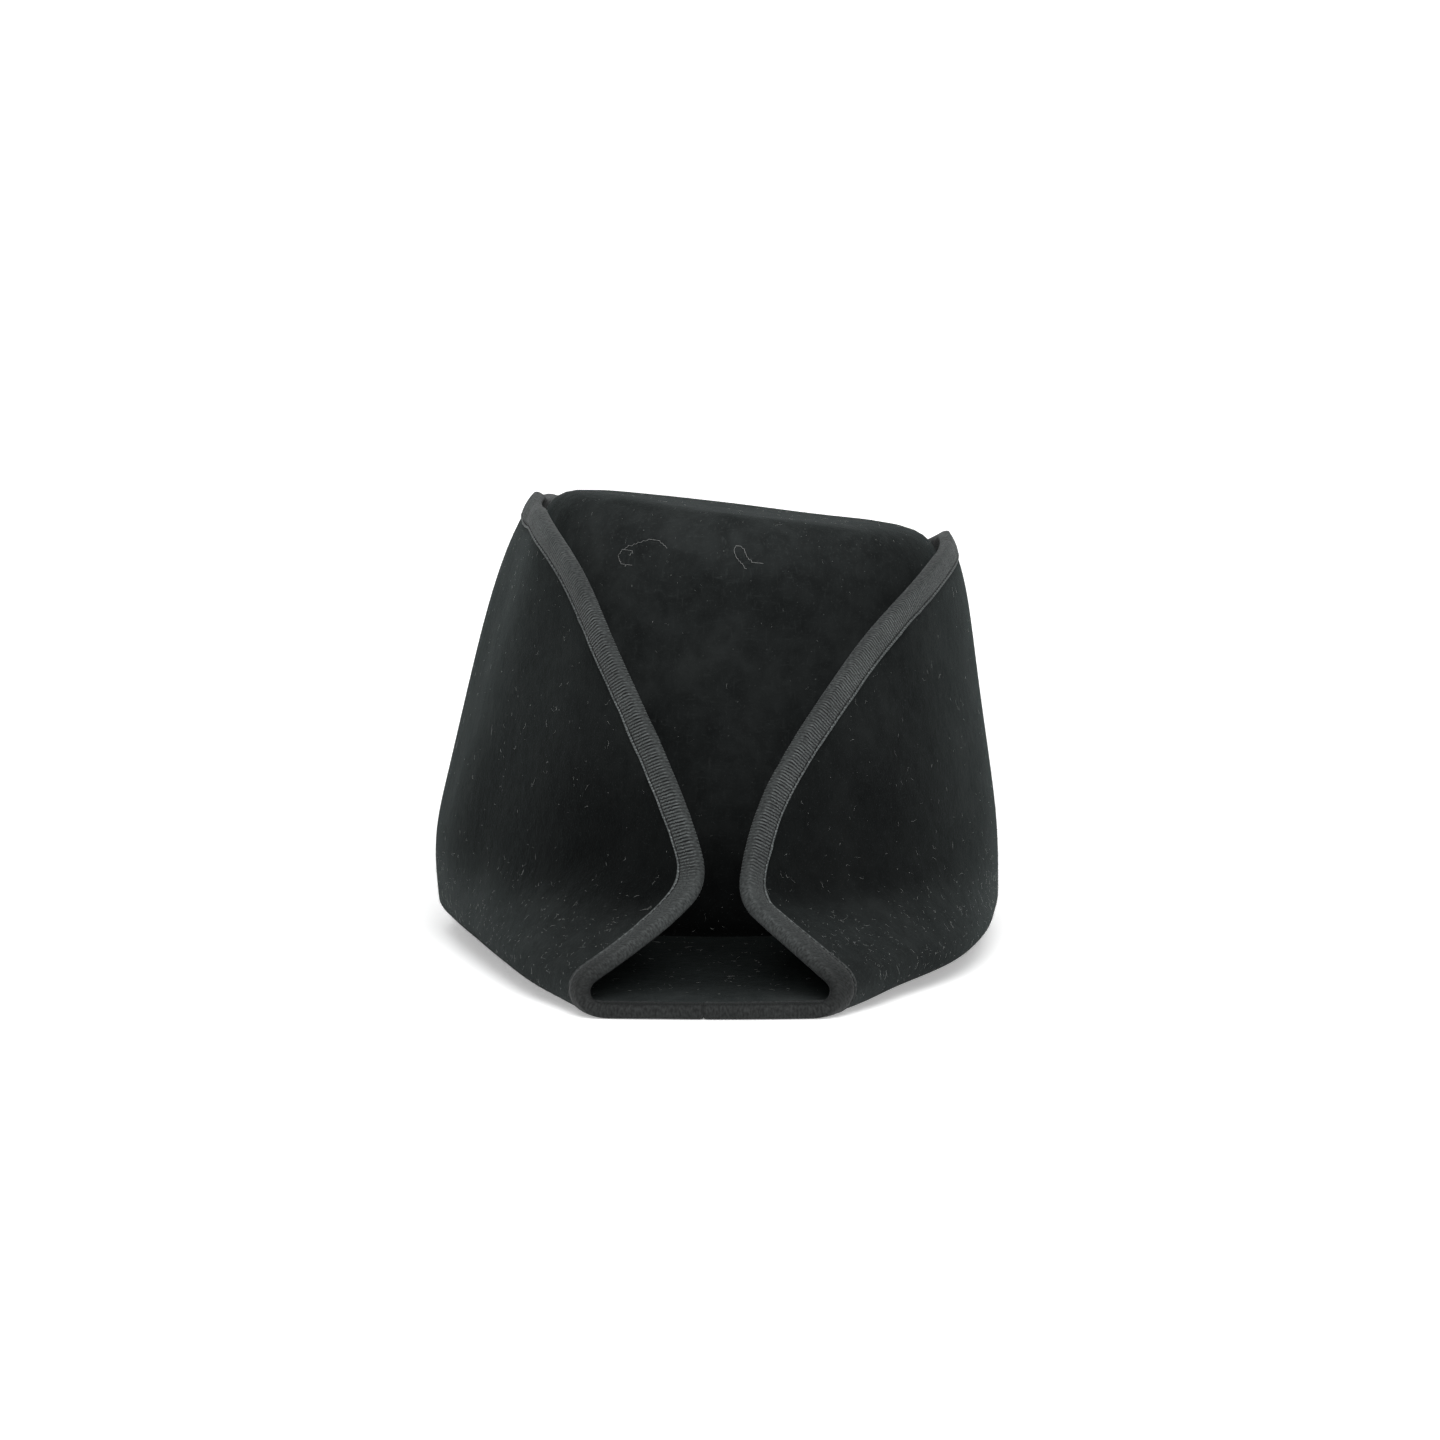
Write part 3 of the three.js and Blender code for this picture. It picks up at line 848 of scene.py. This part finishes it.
corners = body + SHIFT
a, b, c, d = (corners[skin[:, k]] for k in range(4))
area = np.linalg.norm(np.cross(c - a, d - b), axis=-1) / 2
quad_row = np.arange(len(skin)) // STATIONS
outer_rows = len(outer) - 1
ROWS_UNDER_RIBBON = 3
under_ribbon = abs(quad_row - outer_rows) < ROWS_UNDER_RIBBON
quad_normal = np.cross(b - a, d - a)
quad_normal /= np.maximum(np.linalg.norm(quad_normal, axis=-1, keepdims=True), 1e-9)


def scatter(number, weight):
    """Random points on the felt with its outward direction there."""
    chance = np.where(under_ribbon, 0, area * weight)
    pick = rng.choice(len(skin), number, p=chance / chance.sum())
    u, v = rng.uniform(size=(2, number, 1))
    spot = (a[pick] * (1 - u) + b[pick] * u) * (1 - v) + (d[pick] * (1 - u) + c[pick] * u) * v
    return spot, quad_normal[pick]


def sideways(normal):
    away = rng.normal(size=normal.shape)
    away -= (away * normal).sum(-1, keepdims=True) * normal
    return away / np.linalg.norm(away, axis=-1, keepdims=True)


center = (a + b + c + d) / 4
on_outside = quad_row < outer_rows
on_crown = quad_row < CROWN_ROWS
in_crown = quad_row >= len(rows) - 1 - CROWN_ROWS
toward_crown = on_outside & ~on_crown
# Fewer fibres where they hardly show: inside the crown, on the faces toward it and underneath
seen = np.where(in_crown, 0.2, np.where(toward_crown, 0.35, 1.0)) * np.where(center[:, 2] < 5, 0.05, 1.0)

NAP = 90000
NAP_LENGTH = (0.35, 1.0)
NAP_RISE = (0.25, 0.8)
NAP_BREADTH = (0.018, 0.03)
NAP_ROOT = 0.05
spot, normal = scatter(NAP, seen)
lean = sideways(normal)
length = rng.uniform(*NAP_LENGTH, (NAP, 1))
rise = rng.uniform(*NAP_RISE, (NAP, 1))
tip = spot + length * (normal * rise + lean * np.sqrt(1 - rise**2))
breadth = np.cross(normal, lean) * rng.uniform(*NAP_BREADTH, (NAP, 1))
root = normal * NAP_ROOT
points = np.stack([spot - breadth - root, spot + breadth - root, tip], 1).reshape(-1, 3)
nap = mesh_piece("felt_nap", points, np.arange(NAP * 3).reshape(-1, 3), nap_look, smooth=False)
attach(nap, "root")

# Lint gathers low on the facets and, less, high up
low = np.exp(-(((center[:, 2] - 16) / 17) ** 2))
high = smoothstep(center[:, 2], 120, 160)
lint_share = seen * (0.4 + 2.6 * low + 0.5 * high) * np.where(on_crown, 0.45, 1.0)
# Curled fibres and short specks: number, middle length, spread of lengths, thinnest and thickest, curl
LINT_KINDS = [(4600, 1.25, 0.5, 0.013, 0.031, 2.2), (2000, 0.26, 0.35, 0.035, 0.07, 0.6)]
LINT_STEPS = np.linspace(-0.5, 0.5, 4)
lint_paths, lint_radii = [], []
for number, middle_length, spread, thin, thick, most_curl in LINT_KINDS:
    spot, normal = scatter(number, lint_share)
    lean, bend = sideways(normal), sideways(normal)
    size = middle_length * np.exp(rng.normal(0, spread, (number, 1, 1)))
    step = LINT_STEPS[None, :, None]
    curl = step**2 * rng.uniform(-most_curl, most_curl, (number, 1, 1))
    curl = curl + step**3 * rng.uniform(-3, 3, (number, 1, 1))
    rise = normal[:, None] * (0.08 + 0.1 * size)
    lint_paths.append(spot[:, None] + rise + size * (lean[:, None] * step + bend[:, None] * curl))
    lint_radii.append(rng.uniform(thin, thick, (number, 1)) * (1 - 0.6 * (1.8 * LINT_STEPS) ** 2))
points, quads = tubes(np.concatenate(lint_paths), np.concatenate(lint_radii), 3)
lint = mesh_piece("lint", points, quads, lint_look)
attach(lint, "root")


HAIR_STEPS = 36
HAIR_RADIUS = 0.06
HAIR_GAP = 0.12
HAIR_SHAKE = 0.05
WALL_SAMPLES = 300


def near_wall(x, height):
    """A point on the outer face of the crown's near side, by its place across and its height."""
    turn = np.interp(x, np.array([-90, 90]), np.radians([-172, -8]))
    share = np.linspace(0.3, 0.98, WALL_SAMPLES)
    for _ in range(40):
        wall = crown(np.full(WALL_SAMPLES, turn), share)
        k = np.argmin(abs(wall[:, 2] - height))
        turn += (x - wall[k, 0]) / 110
    out = crown_normal(np.array([turn]), share[k : k + 1])[0]
    return wall[k] + out * (HALF_FELT + HAIR_GAP + unevenness(wall[k])) + SHIFT


def smooth_line(line, steps):
    """A smooth curve through the points of a line."""
    knots = np.linspace(0, len(line) - 1, steps)
    k = np.clip(knots.astype(int), 0, len(line) - 2)
    u = (knots - k)[:, None]
    before, p, q = line[np.maximum(k - 1, 0)], line[k], line[k + 1]
    after = line[np.minimum(k + 2, len(line) - 1)]
    square = 2 * before - 5 * p + 4 * q - after
    cube = 3 * p - before - 3 * q + after
    return 0.5 * (2 * p + (q - before) * u + square * u**2 + cube * u**3)


# Places across and heights that each stretch of a hair runs through
HAIRS = [
    [
        (-19, 149.4),
        (-21.7, 151.8),
        (-24.6, 152.4),
        (-29.7, 151),
        (-33.4, 149.4),
        (-35.6, 147.7),
        (-36.3, 146.1),
    ],
    [(-36.3, 146.1), (-35.4, 144), (-33.6, 143), (-31.4, 142.8)],
    [(-34.5, 148.8), (-32.4, 148.6), (-31.2, 147.6), (-32.6, 146.8)],
    [
        (9.6, 142.2),
        (7.5, 144.4),
        (5.7, 147),
        (5, 149.6),
        (6.3, 150.5),
        (8.3, 149.8),
        (9.4, 147.4),
        (10.9, 145.4),
    ],
    [(10.9, 145.4), (12.9, 144.3), (15.6, 144)],
]
hair_points, hair_quads, base = [], [], 0
for line in HAIRS:
    flat = smooth_line(np.array(line, float), HAIR_STEPS)
    flat += rng.normal(scale=HAIR_SHAKE, size=flat.shape)
    path = np.array([near_wall(x, z) for x, z in flat])
    points, quads = tubes(path[None], np.full((1, len(path)), HAIR_RADIUS), 5)
    hair_points.append(points)
    hair_quads.append(quads + base)
    base += len(points)
hairs = mesh_piece("stray_hairs", np.concatenate(hair_points), np.concatenate(hair_quads), hair_look)
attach(hairs, "root")

# Floor, light and camera

# The paper glows a little, to stay white where the softboxes fall off, and more on the backdrop
FLOOR_GLOW = 0.38
BACKDROP_GLOW = 0.62
GLOW_RISE = (0.3, 1.5)  # metres behind the hat


def stage_floor():
    """A pale floor that turns up into a backdrop."""
    near, reach, radius, wall, half_width = -4.0, 2.4, 0.8, 3.0, 4.0
    profile = [(near, 0.0), (-1.0, 0.0), (reach - radius, 0.0)]
    for angle in np.radians(np.linspace(6, 90, 15)):
        profile.append((reach - radius + radius * math.sin(angle), radius - radius * math.cos(angle)))
    profile.append((reach, wall))
    points = [(x, y, z) for y, z in profile for x in (-half_width, half_width)]
    faces = [(2 * k, 2 * k + 1, 2 * k + 3, 2 * k + 2) for k in range(len(profile) - 1)]
    material, shader, add, link = new_material("studio_floor")
    shader.inputs["Base Color"].default_value = (0.93, 0.935, 0.935, 1)
    shader.inputs["Roughness"].default_value = 0.9
    shader.inputs["Specular IOR Level"].default_value = 0.1
    shader.inputs["Emission Color"].default_value = (1, 1, 1, 1)
    split = add("ShaderNodeSeparateXYZ")
    link(add("ShaderNodeTexCoord").outputs["Object"], split.inputs["Vector"])
    glow = add("ShaderNodeMapRange")
    glow.inputs["From Min"].default_value = GLOW_RISE[0]
    glow.inputs["From Max"].default_value = GLOW_RISE[1]
    glow.inputs["To Min"].default_value = FLOOR_GLOW
    glow.inputs["To Max"].default_value = BACKDROP_GLOW
    link(split.outputs["Y"], glow.inputs["Value"])
    link(glow.outputs["Result"], shader.inputs["Emission Strength"])
    floor = mesh_piece("studio_floor", np.array(points) * 1000, faces, material)


def area_light(name, place, target, size, power):
    data = bpy.data.lights.new(name, "AREA")
    data.shape = "RECTANGLE"
    data.size, data.size_y = size
    data.energy = power
    light = bpy.data.objects.new(name, data)
    light.location = place
    direction = Vector(target) - Vector(place)
    light.rotation_euler = direction.to_track_quat("-Z", "Y").to_euler()
    bpy.context.scene.collection.objects.link(light)


# Place, target, size and power of each softbox
LIGHTS = {
    "front_high": ((0.12, -1.8, 1.8), (0, 0, 0.08), (1.6, 1.2), 44),
    "front_low": ((0.12, -2.5, 1.1), (0, 0, 0.08), (1.6, 1.0), 38),
    "overhead": ((0.0, 0.1, 1.9), (0, 0, 0), (2.2, 2.0), 6),
}
AMBIENT = 0.04
stage_floor()
for name, (place, target, size, power) in LIGHTS.items():
    area_light(name, place, target, size, power)
world = bpy.data.worlds.new("studio")
world.use_nodes = True
world.node_tree.nodes["Background"].inputs["Color"].default_value = (1, 1, 1, 1)
world.node_tree.nodes["Background"].inputs["Strength"].default_value = AMBIENT
bpy.context.scene.world = world
bpy.context.scene.view_settings.view_transform = "Standard"

CAMERA_DISTANCE = 1.5
SENSOR_WIDTH = 36
LENS = 97.875
ELEVATION = math.radians(5.04)
TARGET = (1.27e-3, 0.0, 81.4e-3)
camera_data = bpy.data.cameras.new("photo_camera")
camera_data.sensor_width = SENSOR_WIDTH
camera_data.lens = LENS
camera_data.clip_start = 0.05
camera = bpy.data.objects.new("photo_camera", camera_data)
camera.location = (
    TARGET[0],
    TARGET[1] - CAMERA_DISTANCE * math.cos(ELEVATION),
    TARGET[2] + CAMERA_DISTANCE * math.sin(ELEVATION),
)
camera.rotation_euler = (math.pi / 2 - ELEVATION, 0, 0)
bpy.context.scene.collection.objects.link(camera)
bpy.context.scene.camera = camera
